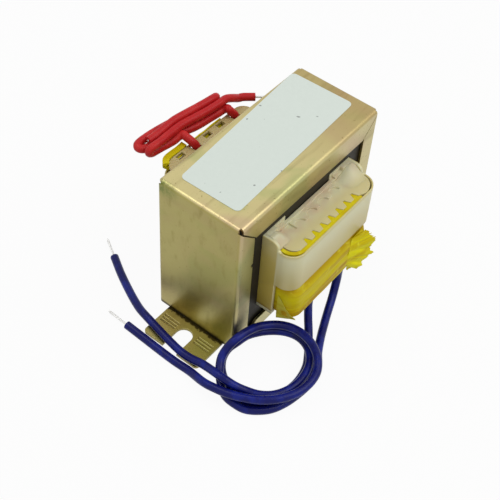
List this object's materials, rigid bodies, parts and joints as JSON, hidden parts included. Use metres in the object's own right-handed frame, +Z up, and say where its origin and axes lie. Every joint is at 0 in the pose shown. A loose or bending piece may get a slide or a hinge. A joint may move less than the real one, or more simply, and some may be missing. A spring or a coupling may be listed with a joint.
{
  "type": "transformer",
  "caption": "Small laminated mains transformer in a folded zinc-plated clamp frame with slotted mounting ears, a split nylon bobbin, yellow tape and loose blue and red flying leads.",
  "frame": {"origin": "on the underside of the base plate, at the middle of the frame's length and depth", "axes": "+X along the mounting ears, -Y towards the front with the secondary leads, +Z up"},
  "size_m": [0.0852, 0.078, 0.0493],
  "materials": {
    "zinc_sheet": "yellow-chromated zinc plating, satin",
    "label_paper": "matt white sticker",
    "core_steel": "dark varnished electrical steel",
    "nylon": "natural translucent nylon",
    "copper": "enamelled copper wire",
    "tape": "yellow polyester tape",
    "tinned_wire": "tinned copper strands",
    "blue_pvc": "dark blue PVC",
    "red_pvc": "red PVC"
  },
  "bodies": {
    "root": {"clamp_frame": "zinc_sheet", "base_plate": "zinc_sheet", "label": "label_paper", "e_laminations_up": "core_steel", "e_laminations_down": "core_steel", "i_laminations_top": "core_steel", "i_laminations_bottom": "core_steel", "bobbin": "nylon", "front_cover": "nylon", "rear_cover": "nylon", "primary_winding": "copper", "secondary_winding": "copper", "primary_tape": "tape", "secondary_tape": "tape", "primary_splices": "tinned_wire", "secondary_splices": "tinned_wire", "blue_lead_a": "blue_pvc", "blue_lead_b": "blue_pvc", "blue_tip_a": "tinned_wire", "blue_tip_b": "tinned_wire", "red_lead_a": "red_pvc", "red_lead_b": "red_pvc", "red_hank": "red_pvc", "red_lead_end": "red_pvc", "red_tip": "tinned_wire"}
  },
  "joints": []
}
